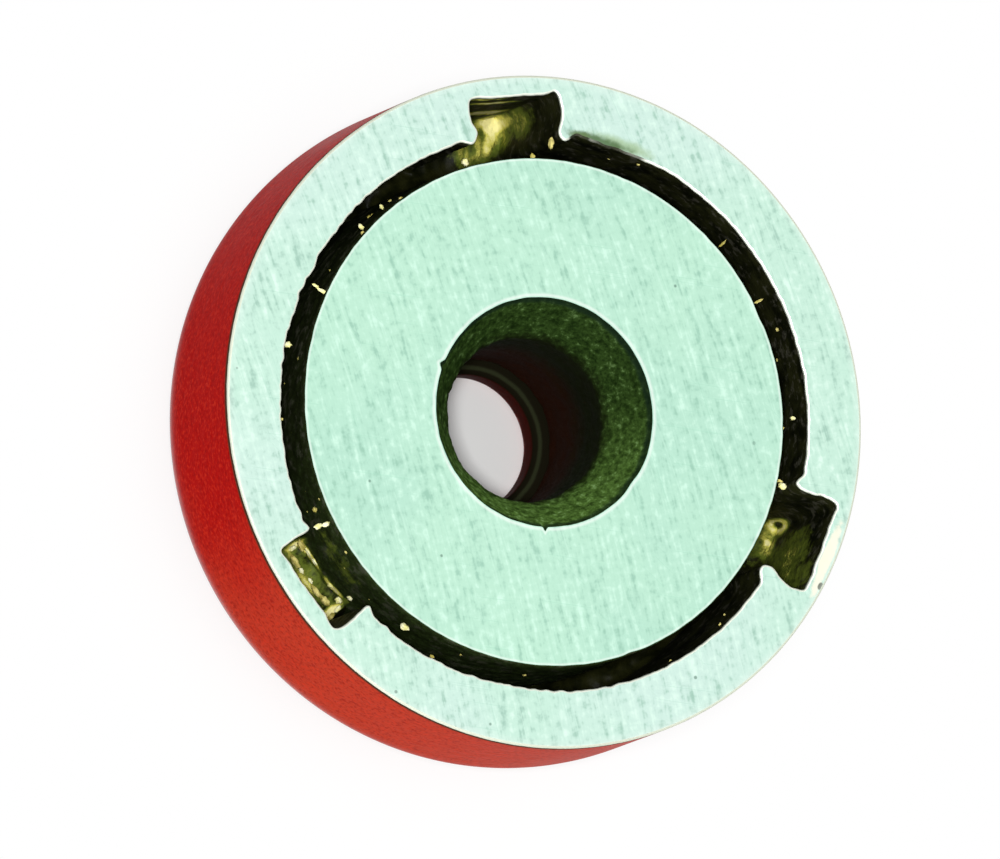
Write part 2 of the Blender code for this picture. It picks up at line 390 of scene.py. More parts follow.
def grinding(finish, place):
    """Grinding lines: a streak value, and masks of the long dark and bright scratches."""
    x, y = (finish.axis(place, name) for name in "XY")
    bent = finish.node("ShaderNodeCombineXYZ", None, {"X": x + y * y * GRIND_BEND, "Y": y})

    def lines(where, width, length, turn, detail=1.0, roughness=0.5):
        """Noise drawn out into lines, of a width and length in millimetres."""
        along = finish.stretch(where, (width, length, 1.0), turn)
        return finish.cloud(along, 1.0, detail, roughness)

    fine = lines(bent, 0.13, 1.05, GRIND_TURN, 2.0, 0.55)
    broad = lines(bent, 0.26, 2.2, GRIND_TURN + 0.05, 2.0)
    grain = finish.cloud(place, 4.0, 2.0, 0.6)
    scratches = lines(bent, 0.085, 5.0, GRIND_TURN + 0.07)
    crossing = lines(place, 3.2, 0.07, math.radians(-12))
    slanting = lines(place, 2.2, 0.06, math.radians(-48))
    dark = finish.step(scratches, 0.64, 0.76) * 0.6 + finish.step(crossing, 0.67, 0.75) * 0.7
    dark = dark + finish.step(slanting, 0.71, 0.77) * 0.5
    bright = finish.step(scratches, 0.36, 0.28)
    return fine * 0.34 + broad * 0.28 + grain * 0.38, dark, bright


def pits(finish, place, scale, chance, size):
    """Mask of small scattered pits."""
    values = {"Vector": place, "Scale": scale}
    cells = finish.node("ShaderNodeTexVoronoi", None, values, "Distance")
    picks = finish.axis(finish.node("ShaderNodeTexVoronoi", None, values, "Color"), "X")
    return finish.step(cells, size, size * 0.5) * finish.step(picks, 1 - chance, 1 - chance + 0.02)


# Stains on the rim, and one painted highlight: middle, half lengths, turn in degrees, colour,
# strength and softness. The first three reach over the cavity's edge. The fourth is a painted
# highlight on the thin wall beyond the third notch.
RIM_STAINS_AND_HIGHLIGHT = (
    ((3.28, 7.36), (0.85, 0.16), -24.0, (0.36, 0.52, 0.26), 0.70, 0.55),
    ((2.55, 7.52), (0.95, 0.15), -19.0, (0.10, 0.18, 0.07), 0.92, 0.50),
    ((2.02, 7.71), (0.30, 0.11), -10.0, (0.16, 0.24, 0.10), 0.80, 0.50),
    # Painted highlight on the thin wall beyond the third notch
    ((7.98, -4.72), (1.10, 0.17), 60.0, (1.0, 0.97, 0.80), 0.95, 0.20),
    ((7.66, -5.52), (0.11, 0.08), 60.0, (0.05, 0.05, 0.02), 0.90, 0.25),
)


def ground_finish(name, tints, stains_and_highlight=()):
    """Ground bright metal: streaked, scratched, pitted and stained, with painted highlights along
    its edges and in some of its stain spots.
    """
    shade, base, pale, far = tints
    finish = Finish(name)
    place = finish.place()
    streaks, dark, bright = grinding(finish, place)
    drift = finish.cloud(place, 0.16, 2.0)
    colour = finish.blend(finish.step(drift, 0.35, 0.65), base, far)
    colour = finish.blend(finish.step(streaks, 0.50, 0.50 - STREAK_SPREAD), colour, shade)
    colour = finish.blend(finish.step(streaks, 0.50, 0.50 + STREAK_SPREAD), colour, pale)
    colour = finish.blend(bright * 0.28, colour, pale)
    colour = finish.blend(dark * 0.45, colour, shade)
    holes = pits(finish, place, 1.1, 0.22, 0.075)
    colour = finish.blend(holes * 0.7, colour, PIT)
    wave = finish.cloud(place, 2.4, 4.0, 0.65) * 1.4 - 0.7 if stains_and_highlight else 0.0
    for centre, size, turn, paint, share, soft in stains_and_highlight:
        # Each stain spot, and the painted highlight spot, laid over the colour
        stain = finish.spot(place, centre, size, turn, wave, soft)
        colour = finish.blend(stain * share, colour, paint)
    # Painted highlight along the ground edges, where the mesh marks it
    colour = finish.blend(finish.mark("edge_highlight") * 0.8, colour, HIGHLIGHT_TINT)
    normal = finish.bump(streaks - dark * 0.5 - holes * 2.0, 0.25, 0.006)
    rough = 0.34 + streaks * 0.10 + dark * 0.1
    return finish.done(
        finish.surface(Base_Color=colour, Metallic=1.0, Roughness=rough, Normal=normal)
    )


def enamel_finish():
    """Glossy red stoving enamel, worn to the steel along the ground edge, with a painted reflection
    of the floor towards -Y, painted shade in the hole and on its inner lip, and a painted highlight
    on the lip's ridge.
    """
    finish = Finish("red_enamel")
    place = finish.place()
    y, z = (finish.axis(place, name) for name in "YZ")
    across = radius_of(finish, place)
    patches = finish.cloud(place, 0.35, 3.0)
    peel = finish.cloud(place, 2.6, 2.0, 0.45)
    specks = finish.cloud(place, 9.0, 2.0, 0.6)
    # Painted reflection of the floor: a lighter, warmer red towards -Y
    painted_floor_reflection = finish.step(y + patches * 5.0, 1.5, -4.5)
    colour = finish.blend(painted_floor_reflection, DEEP_RED, REFLECTED_FLOOR_RED)
    colour = finish.blend(finish.step(specks, 0.48, 0.70) * 0.45, colour, PALE_SPECKS)
    colour = finish.blend(finish.step(specks, 0.50, 0.30) * 0.60, colour, DARK_SPECKS)
    # Painted shade inside the hole
    painted_hole_shade = finish.step(across + peel * 0.1, 2.60, 2.40) * finish.step(z + peel * 0.3, 0.25, 0.6)
    colour = finish.blend(painted_hole_shade * 0.95, colour, HOLE_SHADE_RED)
    # Painted shade on the hole's inner lip, the cup's floor round the top of the hole
    lip = finish.step(z, 0.90, 1.02) * finish.step(across, 4.5, 3.5)
    colour = finish.blend(lip, colour, LIP_SHADE)
    # Painted highlight on the lip's ridge
    wavy = across + peel * 0.05
    ridge_highlight = lip * finish.step(wavy, 2.05, 2.11) * finish.step(wavy, 2.23, 2.15)
    colour = finish.blend(ridge_highlight * 0.4, colour, LIP_RIDGE_HIGHLIGHT)
    normal = finish.bump(peel + specks * 0.25, 0.5, 0.03)
    rough = 0.25 + patches * 0.15 + lip * 0.4
    gloss = finish.step(z, 2.8, 1.2) * (1 - painted_hole_shade) * (1 - lip)
    paint = finish.surface(
        Base_Color=colour, Roughness=rough, Normal=normal, IOR=1.03, Coat_Weight=gloss * 0.7
    )
    line = finish.surface(Base_Color=RIM_LINE, Roughness=0.6, IOR=1.1)
    steel = finish.surface(Base_Color=WORN_EDGE, Metallic=0.4, Roughness=0.55, IOR=1.2)
    height = z + finish.cloud(place, 3.0, 4.0, 0.6) * 0.05
    body = finish.over(finish.step(height, 6.74, 6.88), paint, line)
    return finish.done(finish.over(finish.step(height, 6.965, 6.980), body, steel))


def gilded(finish, place, colour):
    """Golden resin over a colour, where the mesh says that it clings, broken up by noise.

    Gives the new colour, the mask of the gold and the height of its lumps.
    """
    cling = finish.mark("gold")
    x, y, z = (finish.axis(place, name) for name in "XYZ")
    way_round = finish.node("ShaderNodeMath", {"operation": "ARCTAN2"}, {0: y, 1: x}) * RUN_RADIUS
    values = {"X": way_round, "Y": radius_of(finish, place) * 0.35, "Z": z * 0.5}
    coarse = finish.cloud(finish.node("ShaderNodeCombineXYZ", None, values), 2.4, 4.0, 0.65)
    fine = finish.cloud(place, 7.0, 3.0, 0.6)
    amount = cling + coarse * 0.9 + fine * 0.5 - 0.7
    olive = finish.step(amount, 0.10, 0.45) * finish.step(cling, 0.02, 0.15)
    colour = finish.blend(olive, colour, THIN_OLIVE)
    gold = finish.step(amount, 0.42, 0.78)
    colour = finish.blend(gold, colour, THICK_GOLD)
    colour = finish.blend(finish.step(amount, 0.72, 1.02), colour, CREAM)
    return colour, gold, coarse + fine * 0.5


def raw_finish():
    """Inside of the cup: near-black machined steel with runs of golden resin."""
    finish = Finish("raw_steel")
    place = finish.place()
    z = finish.axis(place, "Z")
    stain = finish.cloud(place, 1.3, 4.0, 0.6)
    lines = finish.cloud(finish.stretch(place, (2.0, 2.0, 0.30)), 1.0, 3.0, 0.6)
    colour = finish.blend(finish.step(stain, 0.35, 0.65), RAW_DARK, RAW_FAIR)
    spots = finish.cloud(place, 3.4, 3.0, 0.6)
    colour = finish.blend(finish.step(spots, 0.53, 0.66) * 0.6, colour, RAW_SPOTS)
    colour, gold, lumps = gilded(finish, place, colour)
    # Bare steel on the rounded top edge, painted bright as a highlight
    lip = finish.step(z + lines * 0.03, 6.93, 6.97)
    for centre, (length, width), turn, *_ in RIM_STAINS_AND_HIGHLIGHT[:3]:
        lip = lip * (1 - finish.spot(place, centre, (length, width + 0.2), turn) * 0.85)
    colour = finish.blend(lip, colour, RAW_EDGE_HIGHLIGHT)
    return finish.done(finish.surface(
        Base_Color=colour, Metallic=lip * 0.9, Roughness=0.45 + stain * 0.25, IOR=1.15,
        Normal=finish.bump(lines * 0.5 + lumps * gold, 0.8, 0.08),
    ))


def cast_finish():
    """As-cast skin of the magnet, green-grey and rough, with a painted lit side, painted glints and
    painted shade in the bore, and dark red low in the bore.
    """
    finish = Finish("as_cast_magnet")
    place = finish.place()
    y, z = (finish.axis(place, name) for name in "YZ")
    across = radius_of(finish, place)
    lumps = finish.cloud(place, 2.6, 4.0, 0.65)
    grit = finish.cloud(place, 5.5, 3.0, 0.7)
    mottle = lumps * 0.25 + grit * 0.75
    in_bore = finish.step(across, 4.0, 3.5)
    # Painted light: the bore lighter towards -Y and darker towards +Y
    painted_lit_side = finish.step(y + lumps * 1.6, 1.6, -2.6)
    light = finish.step(mottle, 0.36, 0.62)
    colour = finish.blend(
        painted_lit_side, finish.blend(light, *CAST_SHADED_SIDE), finish.blend(light, *CAST_LIT_SIDE)
    )
    # Grains painted as glints, stronger on the painted lit side
    grain_glints = finish.step(mottle, 0.55, 0.70) * (0.30 + painted_lit_side * 0.6)
    colour = finish.blend(grain_glints, colour, CAST_GRAIN_GLINTS)
    # Painted shade deeper down the bore
    bore_shade = finish.step(z + lumps * 0.5 + grit * 0.3, 6.30, 5.70) * in_bore
    colour = finish.blend(bore_shade * 0.94, colour, BORE_SHADE)
    # Darker red low in the bore
    low = finish.step(z + lumps, 4.9, 3.2) * in_bore
    colour = finish.blend(low * 0.8, colour, LOW_BORE_RED)
    # Painted shade in a thin ring under the mouth's lip
    lip = finish.step(z + lumps * 0.06, 6.76, 6.88) * in_bore
    colour = finish.blend(lip * 0.8, colour, MOUTH_LIP_SHADE)
    side = finish.step(across, 6.9, 7.05)
    colour = finish.blend(side * 0.85, colour, SIDE_DARK)
    colour = finish.blend(finish.step(lumps, 0.50, 0.66) * side * 0.55, colour, SIDE_SPOTS)
    colour, gold, more = gilded(finish, place, colour)
    normal = finish.bump(lumps + grit * 0.5 + more * gold, 0.7, 0.05)
    return finish.done(finish.surface(Base_Color=colour, Roughness=0.70, IOR=1.10, Normal=normal))


def resin_finish():
    """Bonding resin: glossy, near-black in the gap, olive with gold and cream in the notches."""
    finish = Finish("bonding_resin")
    place = finish.place()
    flow = finish.cloud(place, 1.7, 4.0, 0.6)
    colour = finish.blend(finish.step(flow, 0.35, 0.65), *RESIN_TINTS)
    colour, gold, lumps = gilded(finish, place, colour)
    normal = finish.bump(flow * 0.5 + lumps * gold, 0.9, 0.10)
    rough = 0.38 + flow * 0.2
    return finish.done(finish.surface(Base_Color=colour, Roughness=rough, Normal=normal, IOR=1.16))


def fleck_finish(name, tints):
    """Shavings and drops of resin that caught in the gap."""
    finish = Finish(name)
    place = finish.place()
    colour = finish.blend(finish.step(finish.cloud(place, 4.0, 3.0), 0.4, 0.6), *tints)
    normal = finish.bump(finish.cloud(place, 8.0, 3.0), 0.6, 0.03)
    return finish.done(finish.surface(Base_Color=colour, Roughness=0.5, IOR=1.15, Normal=normal))


def turned(degrees):
    """A turn about the part's axis."""
    return Matrix.Rotation(math.radians(degrees), 4, "Z")


def apart(first, second):
    """How far one angle lies past another, in degrees from -180 to 180."""
    return (first - second + 180) % 360 - 180


def clamped(value):
    """A value kept between 0 and 1."""
    return min(1.0, max(0.0, value))


def between(stops, value):
    """Value read from a table of stops."""
    for (start, first), (end, last) in zip(stops, stops[1:]):
        if value <= end:
            return first + (last - first) * (value - start) / (end - start)
    return stops[-1][1]


def spaced_out(points, step):
    """Points at an even step round a closed line of points."""
    points = points + [points[0]]
    lengths = [0.0]
    for first, second in zip(points, points[1:]):
        lengths.append(lengths[-1] + (second - first).length)
    count = round(lengths[-1] / step)
    spaced = []
    index = 0
    for number in range(count):
        want = lengths[-1] * number / count
        while index < len(points) - 2 and lengths[index + 1] < want:
            index += 1
        share = (want - lengths[index]) / (lengths[index + 1] - lengths[index])
        spaced.append(points[index].lerp(points[index + 1], share))
    return spaced


def cavity_outline():
    """Edge of the cup's cavity on the working face, anticlockwise, notches included."""
    edges = []
    for turn, edge in zip(NOTCH_TURNS, NOTCH_EDGES):
        edges.append([turned(turn) @ Vector((*place, 0.0)) for place in edge])
    start = CAVITY_RADII[0][0]
    corners = []
    for edge, after in zip(edges, edges[1:] + edges[:1]):
        corners += edge
        first = math.degrees(math.atan2(edge[-1].y, edge[-1].x))
        sweep = (math.degrees(math.atan2(after[0].y, after[0].x)) - first) % 360
        for number in range(1, CORNERS_BETWEEN):
            angle = first + sweep * number / CORNERS_BETWEEN
            radius = between(CAVITY_RADII, (angle - start) % 360 + start)
            corners.append(turned(angle) @ Vector((radius, 0.0, 0.0)))
    points = spaced_out(corners, EDGE_STEP)
    for _ in range(SMOOTHINGS):
        points = [
            (points[index - 1] + 2 * points[index] + points[(index + 1) % len(points)]) / 4
            for index in range(len(points))
        ]
    return points


def normals_of(points):
    """Direction into the steel at each point of the cavity's edge."""
    count = len(points)
    sides = []
    for index in range(count):
        run = points[(index + 1) % count] - points[index - 1]
        sides.append(Vector((run.y, -run.x, 0.0)).normalized())
    return sides


# Dents of the cavity's edge: angle and radius where they lie, how far they push the edge
# outward, their reach, and the depth over which they fade
DENTS = (
    (77.0, 7.93, 0.03, 0.16, 0.5),
    (73.5, 7.92, 0.02, 0.20, 0.25),
    (69.5, 7.90, -0.03, 0.16, 0.20),
    (197.0, 8.05, -0.05, 0.15, 0.3),
    (333.6, 9.05, 0.05, 0.12, 0.3),
    (226.0, 7.98, -0.04, 0.20, 0.3),
    (163.0, 7.92, 0.03, 0.12, 0.3),
    (151.0, 7.91, 0.04, 0.10, 0.3),
)

# Golden resin on the walls and in the notches: the notch, the middle across, outward and up,
# the half sizes, and the amount. Below 0 it leaves a hollow in the resin of the rows above it.
GOLD = (
    (0, (1.22, 8.76, 2.5), (0.42, 0.26, 0.9), 1.22),
    (0, (1.05, 8.50, 2.5), (0.60, 0.45, 0.9), 0.78),
    (0, (0.60, 8.10, 2.5), (0.55, 0.50, 0.9), 0.62),
    (0, (1.10, 8.10, 2.5), (0.18, 0.14, 0.9), 0.74),
    (0, (-0.05, 8.96, 5.9), (0.65, 0.25, 0.20), 0.95),
    (0, (0.50, 8.96, 3.9), (0.60, 0.25, 0.40), 1.00),
    (0, (-0.60, 8.96, 6.7), (0.55, 0.20, 0.12), 0.65),
    (0, (1.50, 8.60, 3.8), (0.25, 0.45, 0.9), 0.48),
    (1, (0.00, 7.60, 4.2), (1.20, 0.40, 0.5), 0.38),
    (1, (-1.20, 7.60, 4.2), (0.14, 0.40, 0.5), 1.00),
    (1, (-0.20, 7.72, 4.2), (0.60, 0.14, 0.5), 0.85),
    (1, (-0.75, 7.24, 4.25), (0.40, 0.10, 0.16), 1.05),
    (1, (0.45, 7.21, 4.25), (0.50, 0.10, 0.16), 1.05),
    (1, (0.92, 7.45, 4.2), (0.10, 0.30, 0.5), 1.05),
    (1, (0.75, 7.65, 4.2), (0.25, 0.15, 0.5), 0.70),
    (1, (0.10, 7.25, 5.8), (1.00, 0.15, 0.50), 0.25),
    (2, (-0.85, 8.74, 2.45), (0.48, 0.28, 0.32), 1.00),
    (2, (-0.88, 8.60, 2.45), (0.14, 0.12, 0.30), 1.35),
    (2, (-0.90, 8.88, 2.45), (0.16, 0.10, 0.30), 1.35),
    (2, (-1.42, 8.88, 2.65), (0.30, 0.24, 0.60), 1.10),
    (2, (-1.42, 8.88, 2.65), (0.10, 0.09, 0.26), -1.0),
    (0, (0.98, 8.55, 2.5), (0.10, 0.22, 0.60), -0.6),
    (0, (0.62, 8.45, 2.5), (0.09, 0.35, 0.60), -0.7),
    (2, (-0.88, 8.74, 2.45), (0.07, 0.06, 0.30), -0.8),
    (2, (-0.50, 8.50, 2.7), (0.50, 0.45, 0.7), 0.65),
    (2, (-0.10, 9.02, 4.2), (0.80, 0.25, 1.7), 0.38),
    (2, (0.70, 9.02, 5.4), (0.60, 0.25, 1.5), 0.34),
)


def gold_at(point):
    """How much golden resin clings at a point."""
    amount = 0.0
    for number, centre, size, most in GOLD:
        place = turned(-NOTCH_TURNS[number]) @ point - Vector(centre)
        away = Vector((place.x / size[0], place.y / size[1], place.z / size[2])).length
        share = clamped(1.6 - away)
        amount = max(amount, most * share) if most > 0 else amount * (1 + most * share)
    return amount


def roughness_at(angle):
    """How ragged the rim's inner edge is, round the part."""
    degrees = math.degrees(angle) % 360
    most = max(math.exp(-(((degrees - middle) / width) ** 2)) for middle, width in RAGGED_PARTS)
    return 0.35 + 0.75 * most


def edge_point(point, into, depth):
    """A point of the cavity's edge or wall, at a depth below the working face."""
    in_notch = clamped((point.length - NOTCH_START) / NOTCH_BLEND)
    ragged = roughness_at(math.atan2(point.y, point.x)) * (1 - in_notch) + NOTCH_RAGGED * in_notch
    wave = noise.noise(point * 1.3 + Vector((0, 0, depth * 0.5))) * EDGE_WAVE * ragged
    teeth = noise.noise(point * 4.6 + Vector((0, 0, depth * 2))) * EDGE_TEETH * ragged
    teeth *= math.exp(-depth / TEETH_DEPTH)
    skin = noise.noise(Vector((point.x * 3.0, point.y * 3.0, depth * 3.0))) * WALL_SKIN
    fall = max(0.0, EDGE_ROUND - depth)
    lip = EDGE_ROUND - math.sqrt(EDGE_ROUND * EDGE_ROUND - fall * fall)
    moved = point + into * (wave + teeth + skin + lip)
    for degrees, radius, push, reach, fade in DENTS:
        centre = turned(degrees) @ Vector((radius, 0.0, 0.0))
        away = (point - centre).length / reach
        if away < 3:
            moved = moved + centre.normalized() * push * math.exp(-away * away - depth / fade)
    return moved


def levels(stops):
    """Heights or depths between stops, each stop with the step that leads to the next."""
    found = []
    for (top, step), (bottom, _) in zip(stops, stops[1:]):
        count = max(1, round(abs(top - bottom) / step))
        found += [top + (bottom - top) * number / count for number in range(count)]
    return found + [stops[-1][0]]


def angles_round(count):
    """Angles at even steps round the axis."""
    return [2 * math.pi * number / count for number in range(count)]


def ring(radius, height, count):
    """Points of a circle about the axis."""
    return [
        Vector((radius * math.cos(angle), radius * math.sin(angle), height))
        for angle in angles_round(count)
    ]


def arc(centre, radii, start, end, count):
    """Points of an arc in (radius, height), its angles in degrees."""
    points = []
    for number in range(count + 1):
        angle = math.radians(start + (end - start) * number / count)
        out = centre[0] + radii[0] * math.cos(angle)
        points.append((out, centre[1] + radii[1] * math.sin(angle)))
    return points


def placed(name, data):
    """Add an object to the scene."""
    made = bpy.data.objects.new(name, data)
    bpy.context.scene.collection.objects.link(made)
    return made


class Sheet:
    """Points and faces of a piece while it is put together."""

    def __init__(self):
        self.points = []
        self.faces = []
        self.kinds = []
        self.edge_highlight = []
        self.sharp = set()

    def loop(self, points, edge_highlight=0.0):
        """Add a closed row of points, with how strong its painted highlight is."""
        first = len(self.points)
        self.points += points
        self.edge_highlight += [edge_highlight] * len(points)
        return list(range(first, first + len(points)))

    def wall(self, upper, lower, kind):
        """Faces between two rows of as many points."""
        count = len(upper)
        for index in range(count):
            after = (index + 1) % count
            self.faces.append((upper[index], upper[after], lower[after], lower[index]))
            self.kinds.append(kind)

    def flat(self, outer, inner, kind, up):
        """A flat ring-shaped face between two rows."""
        rows = [[self.points[index] for index in outer], [self.points[index] for index in inner]]
        names = outer + inner
        for corners in tessellate_polygon(rows):
            first, second, third = (self.points[names[corner]] for corner in corners)
            faces_up = (second - first).cross(third - first).z > 0
            order = corners if faces_up == up else corners[::-1]
            self.faces.append(tuple(names[corner] for corner in order))
            self.kinds.append(kind)

    def crease(self, row):
        """Mark a row as a sharp edge."""
        for index, point in enumerate(row):
            self.sharp.add(frozenset((row[index - 1], point)))

    def piece(self, name, finishes):
        """Make the object, with the marks that its finishes read."""
        mesh = bpy.data.meshes.new(name)
        mesh.from_pydata([point * MM for point in self.points], [], self.faces)
        for finish in finishes:
            mesh.materials.append(finish)
        mesh.polygons.foreach_set("material_index", self.kinds)
        marks = {"edge_highlight": self.edge_highlight, "gold": [gold_at(point) for point in self.points]}
        for mark, values in marks.items():
            mesh.attributes.new(mark, "FLOAT", "POINT").data.foreach_set("value", values)
        mesh.shade_smooth()
        for edge in mesh.edges:
            if frozenset(edge.vertices) in self.sharp:
                edge.use_edge_sharp = True
        mesh.update()
        return placed(name, mesh)


def make_cup(outline, finishes):
    """The cup: enamelled outside, ground face, ragged cavity edge and notches."""
    sheet = Sheet()
    sides = normals_of(outline)
    rows = []
    for depth in levels(WALL_DEPTHS):
        row = []
        for point, into in zip(outline, sides):
            moved = edge_point(point, into, depth)
            row.append(Vector((moved.x, moved.y, CUP_HEIGHT - depth)))
        rows.append(sheet.loop(row))
    for upper, lower in zip(rows, rows[1:]):
        sheet.wall(upper, lower, RAW)

    flat_edge = CUP_RADIUS - RIM_OUTER_ROUND
    rim = (flat_edge, CUP_HEIGHT - RIM_OUTER_ROUND)
    profile = arc(rim, (RIM_OUTER_ROUND, RIM_OUTER_ROUND), 90, 0, 6)
    profile += [(CUP_RADIUS, height) for height in levels([(6.6, 0.8), (SHOULDER_HEIGHT + 0.2, 1)])]
    shoulder = (CUP_RADIUS - SHOULDER_DEPTH, SHOULDER_HEIGHT)
    profile += arc(shoulder, (SHOULDER_DEPTH, SHOULDER_HEIGHT), 0, -90, 24)
    profile += [(5.0, 0.0), (3.2, 0.0)]
    back = (HOLE_RADIUS + HOLE_BACK_ROUND, HOLE_BACK_ROUND)
    profile += arc(back, (HOLE_BACK_ROUND, HOLE_BACK_ROUND), -90, -180, 8)
    floor = (HOLE_RADIUS + HOLE_FLOOR_ROUND, BASE_THICKNESS - HOLE_FLOOR_ROUND)
    profile += arc(floor, (HOLE_FLOOR_ROUND, HOLE_FLOOR_ROUND), 180, 90, 8)
    profile += [(7.0, BASE_THICKNESS), (7.6, 2.0)]
    shell = [sheet.loop(ring(*place, CUP_SIDES), SHELL_HIGHLIGHT) for place in profile]
    near, face = (
        sheet.loop(ring(flat_edge - inset, CUP_HEIGHT, CUP_SIDES), edge_highlight)
        for inset, edge_highlight in RIM_ROWS
    )
    sheet.wall(shell[0], near, GROUND)
    sheet.wall(near, face, GROUND)
    for upper, lower in zip(shell, shell[1:]):
        sheet.wall(lower, upper, ENAMELLED)
    sheet.flat(face, rows[0], GROUND, True)
    sheet.flat(rows[-1], shell[-1], RAW, True)
    for row in (shell[0], rows[0], shell[-1], rows[-1]):
        sheet.crease(row)
    return sheet.piece("enamelled_cup", finishes)


def core_point(radius, height, angle):
    """A point of the magnet: cast relief in the bore and on the side, none on the ground face."""
    outward = Vector((math.cos(angle), math.sin(angle), 0.0))
    point = outward * radius + Vector((*CORE_SHIFT, height))
    below = CUP_HEIGHT - height
    cast = clamped(below / CAST_DEPTH)
    relief = noise.noise(point * 2.4) * 0.035 + noise.noise(point * 7.0) * 0.018
    edge = noise.noise(point * 3.0) * 0.012 * (1 - cast)
    moved = relief * cast + edge
    in_bore = radius < (MOUTH_RADIUS + CORE_RADIUS) / 2
    for degrees, push, width, fade in BORE_NICKS if in_bore else SIDE_NICKS:
        away = apart(math.degrees(angle), degrees)
        moved += push * math.exp(-((away / width) ** 2) - below / fade)
    return point + outward * moved


def make_core(finishes):
    """The ring magnet: ground pole face, cast countersunk bore and cast side."""
    sheet = Sheet()
    angles = angles_round(CORE_SIDES)

    def row(radius, height, edge_highlight=0.0):
        """A closed row of the magnet's points."""
        return sheet.loop([core_point(radius, height, angle) for angle in angles], edge_highlight)

    mouth = [(MOUTH_RADIUS + wider, height) for wider, height in MOUTH_EDGE]
    slope = (MOUTH_RADIUS - CONE_INSET - BORE_RADIUS) / (CONE_TOP - MOUTH_BOTTOM)
    for height in levels([(CONE_TOP, 0.055), (MOUTH_BOTTOM + 0.1, 1)]):
        mouth.append((BORE_RADIUS + (height - MOUTH_BOTTOM) * slope, height))
    mouth.append((BORE_RADIUS + 0.02, MOUTH_BOTTOM))
    mouth += [(BORE_RADIUS, height) for height in levels([(5.38, 0.14), (CORE_BOTTOM, 1)])]
    side = [(CORE_RADIUS + wider, height) for wider, height in SIDE_EDGE]
    foot = CORE_BOTTOM + CORE_FOOT_CHAMFER
    side += [(CORE_RADIUS, height) for height in levels([(6.90, 0.09), (foot, 1)])]
    side.append((CORE_RADIUS - CORE_FOOT_CHAMFER, CORE_BOTTOM))
    inner = [row(radius, height) for radius, height in mouth]
    outer = [row(radius, height) for radius, height in side]
    for upper, lower in zip(inner, inner[1:]):
        sheet.wall(upper, lower, CAST)
    for upper, lower in zip(outer, outer[1:]):
        sheet.wall(lower, upper, CAST)
    face = [row(radius, CUP_HEIGHT, edge_highlight) for radius, edge_highlight in POLE_ROWS]
    for upper, lower in zip([outer[0]] + face, face + [inner[0]]):
        sheet.wall(upper, lower, POLE)
    sheet.wall(inner[-1], outer[-1], CAST)
    for edge in (inner[0], outer[0], inner[-1], outer[-1]):
        sheet.crease(edge)
    return sheet.piece("ring_magnet", finishes)


def resin_point(point, into, share):
    """A point of the resin's surface, at a share of the way from the magnet to the cup."""
    wall = edge_point(point, into, RESIN_DEPTH) + into * INTO_CUP
    inner = Vector((point.x, point.y, 0.0)).normalized() * (CORE_RADIUS - INTO_MAGNET)
    here = inner.lerp(wall, share)
    gap = (wall - inner).length
    climb = MAGNET_CLIMB * math.exp(-share * gap / MAGNET_REACH)
    climb += CUP_CLIMB * math.exp(-(1 - share) * gap / CUP_REACH)
    swell = noise.noise(here * 0.9) * 0.25 + noise.noise(here * 3.1) * 0.10
    pool = turned(-NOTCH_TURNS[1]) @ here
    rise = 1.0 - clamped((abs(pool.x) - POOL_HALF_WIDTH) / POOL_SLOPE) if pool.y > 0 else 0.0
    climb *= 1 - 0.6 * rise
    height = RESIN_LEVEL + climb * (1 + noise.noise(point * 1.7)) + swell
    height += POOL_RISE * rise * rise * (3 - 2 * rise)
    return Vector((here.x, here.y, height))


def make_resin(outline, finishes):
    """Resin in the gap and the notches, climbing the walls where it wetted them."""
    sheet = Sheet()
    sides = normals_of(outline)
    rows = []
    for share in RESIN_SHARES:
        row = [resin_point(point, into, share) for point, into in zip(outline, sides)]
        rows.append(sheet.loop(row))
    floor = []
    for row in (rows[0], rows[-1]):
        corners = [sheet.points[index] for index in row]
        floor.append(sheet.loop([Vector((point.x, point.y, RESIN_BOTTOM)) for point in corners]))
    for inner, outer in zip(rows, rows[1:]):
        sheet.wall(outer, inner, 0)
    sheet.wall(rows[0], floor[0], 0)
    sheet.wall(floor[1], rows[-1], 0)
    sheet.wall(floor[0], floor[1], 0)
    return sheet.piece("bonding_resin", finishes)


